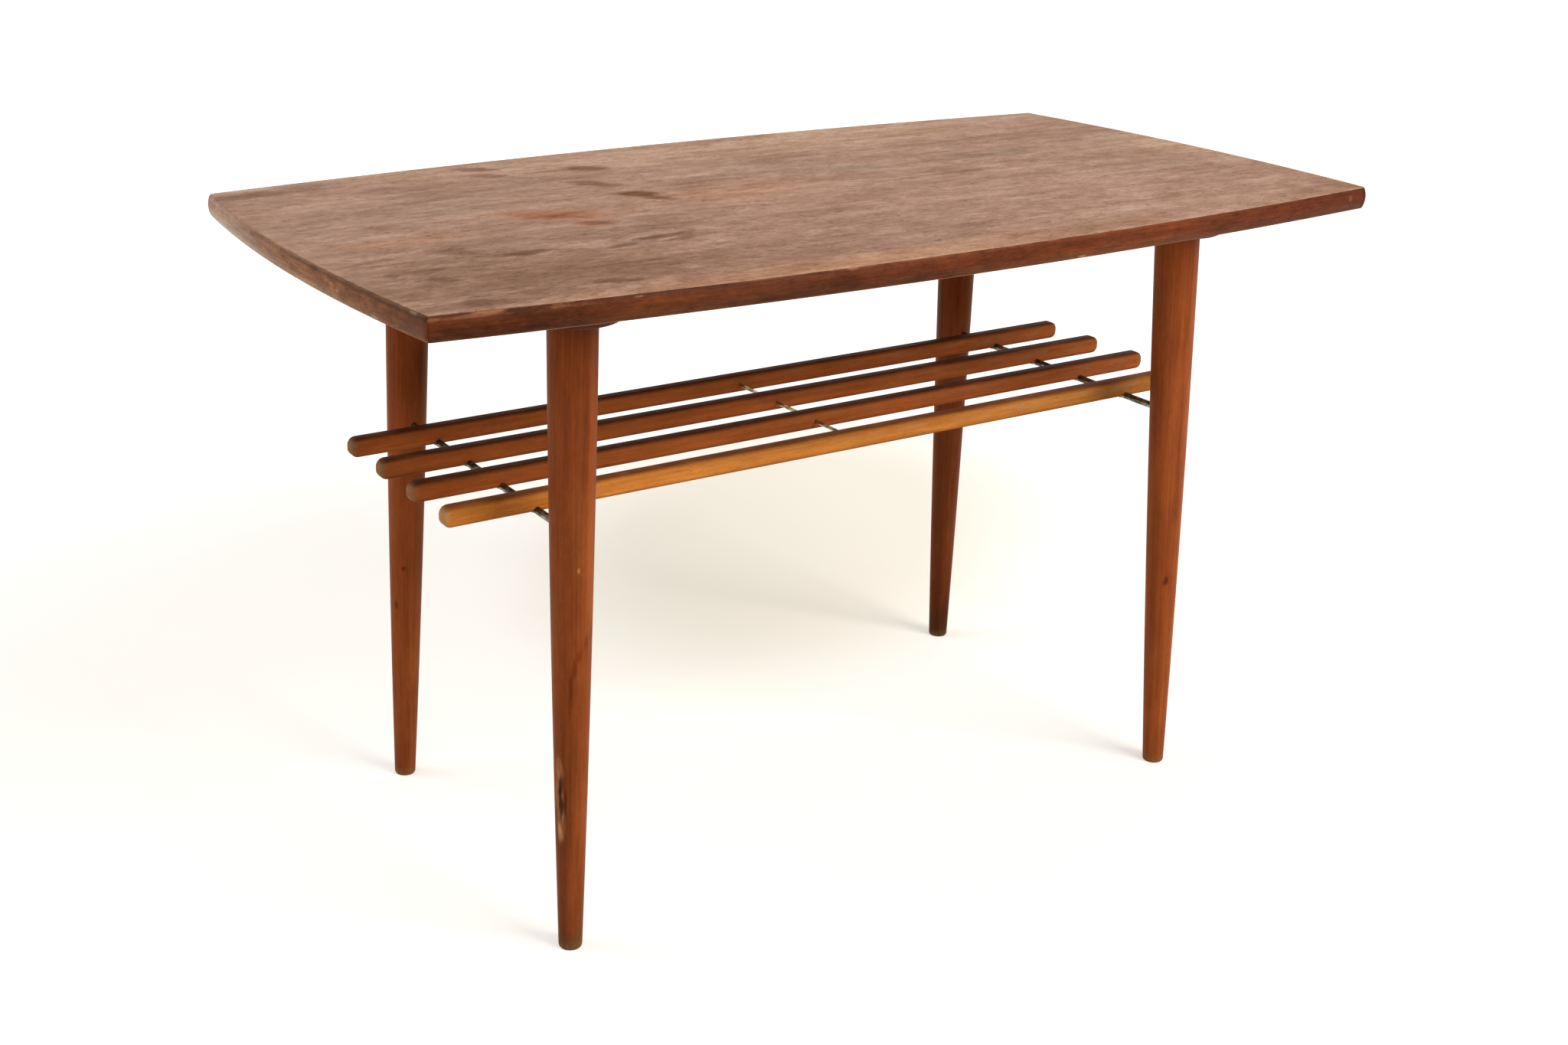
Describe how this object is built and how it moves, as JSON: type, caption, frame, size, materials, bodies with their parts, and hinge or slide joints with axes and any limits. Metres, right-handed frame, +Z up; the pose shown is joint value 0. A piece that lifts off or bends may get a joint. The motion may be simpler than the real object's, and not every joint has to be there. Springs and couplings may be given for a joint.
{
  "type": "coffee table",
  "caption": "Low wooden coffee table with a bowed, lipped top, splayed turned tapered legs and a slatted magazine shelf hung on metal rods between the legs.",
  "frame": {"origin": "on the floor, below the middle of the top", "axes": "+X along the length to the right, +Y to the back, +Z up"},
  "size_m": [0.9, 0.4948, 0.5425],
  "materials": {
    "face_veneer": "matt, worn",
    "under_veneer": "matt",
    "core_board": "bare",
    "lipping": "satin",
    "batten": "satin",
    "leg": "satin",
    "slat": "satin",
    "slat_front": "satin",
    "wedge": "bare",
    "end_rod": "dark patina",
    "middle_rod": "dull",
    "screw": "dull"
  },
  "bodies": {
    "root": {"top_core": "core_board", "top_veneer": "face_veneer", "under_veneer": "under_veneer", "lipping_front": "lipping", "lipping_back": "lipping", "lipping_left": "lipping", "lipping_right": "lipping", "batten_left": "batten", "batten_right": "batten", "batten_screws": "screw", "leg_front_left": "leg", "leg_front_right": "leg", "leg_back_left": "leg", "leg_back_right": "leg", "leg_wedges": "wedge", "slat_1": "slat", "slat_2": "slat", "slat_3": "slat", "slat_4": "slat_front", "rod_left": "end_rod", "rod_right": "end_rod", "rod_middle": "middle_rod", "slat_screws": "screw"}
  },
  "joints": []
}
